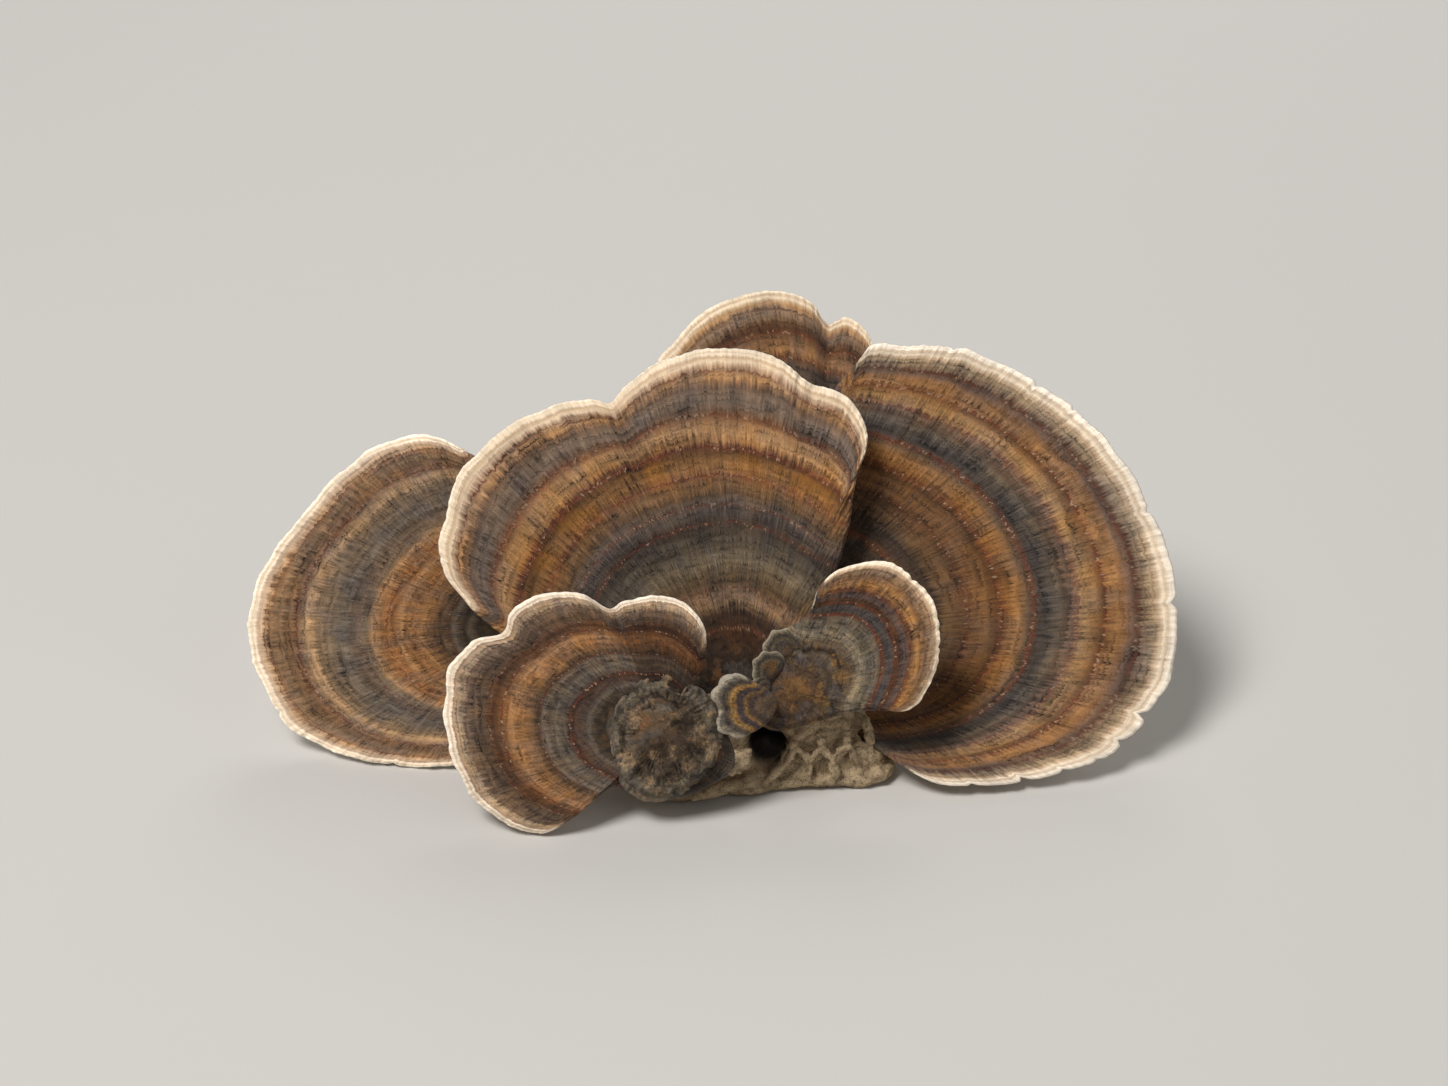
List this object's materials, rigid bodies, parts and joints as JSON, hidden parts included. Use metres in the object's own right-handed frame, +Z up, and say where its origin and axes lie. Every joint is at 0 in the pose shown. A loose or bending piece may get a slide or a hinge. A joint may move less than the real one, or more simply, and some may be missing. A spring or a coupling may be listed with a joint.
{
  "type": "turkey tail mushroom",
  "caption": "Cluster of thin, zoned, fan-shaped bracket mushrooms with pale wavy margins, grown together on one tough base that is cut flat underneath.",
  "frame": {"origin": "centre of the flat cut under the base, on the surface that the cluster rests on", "axes": "+X to the right along the cluster's width, +Y to its back, +Z up; the brackets' upper faces lean towards -Y"},
  "size_m": [0.1219, 0.0612, 0.0472],
  "materials": {
    "cap": "velvety, in rings of tan, orange, brown and blue-grey, with a cream margin and a pale pored underside",
    "young_cap": "velvety grey with an ochre ring and a pale edge",
    "base": "matt cream and tan, folded and finely pored"
  },
  "bodies": {
    "root": {"middle_cap": "cap", "right_cap": "cap", "left_cap": "cap", "back_cap": "cap", "front_left_cap": "cap", "front_right_cap": "cap", "bud_cap": "young_cap", "young_cap_1": "young_cap", "young_cap_2": "young_cap", "young_cap_3": "young_cap", "base": "base"}
  },
  "joints": []
}
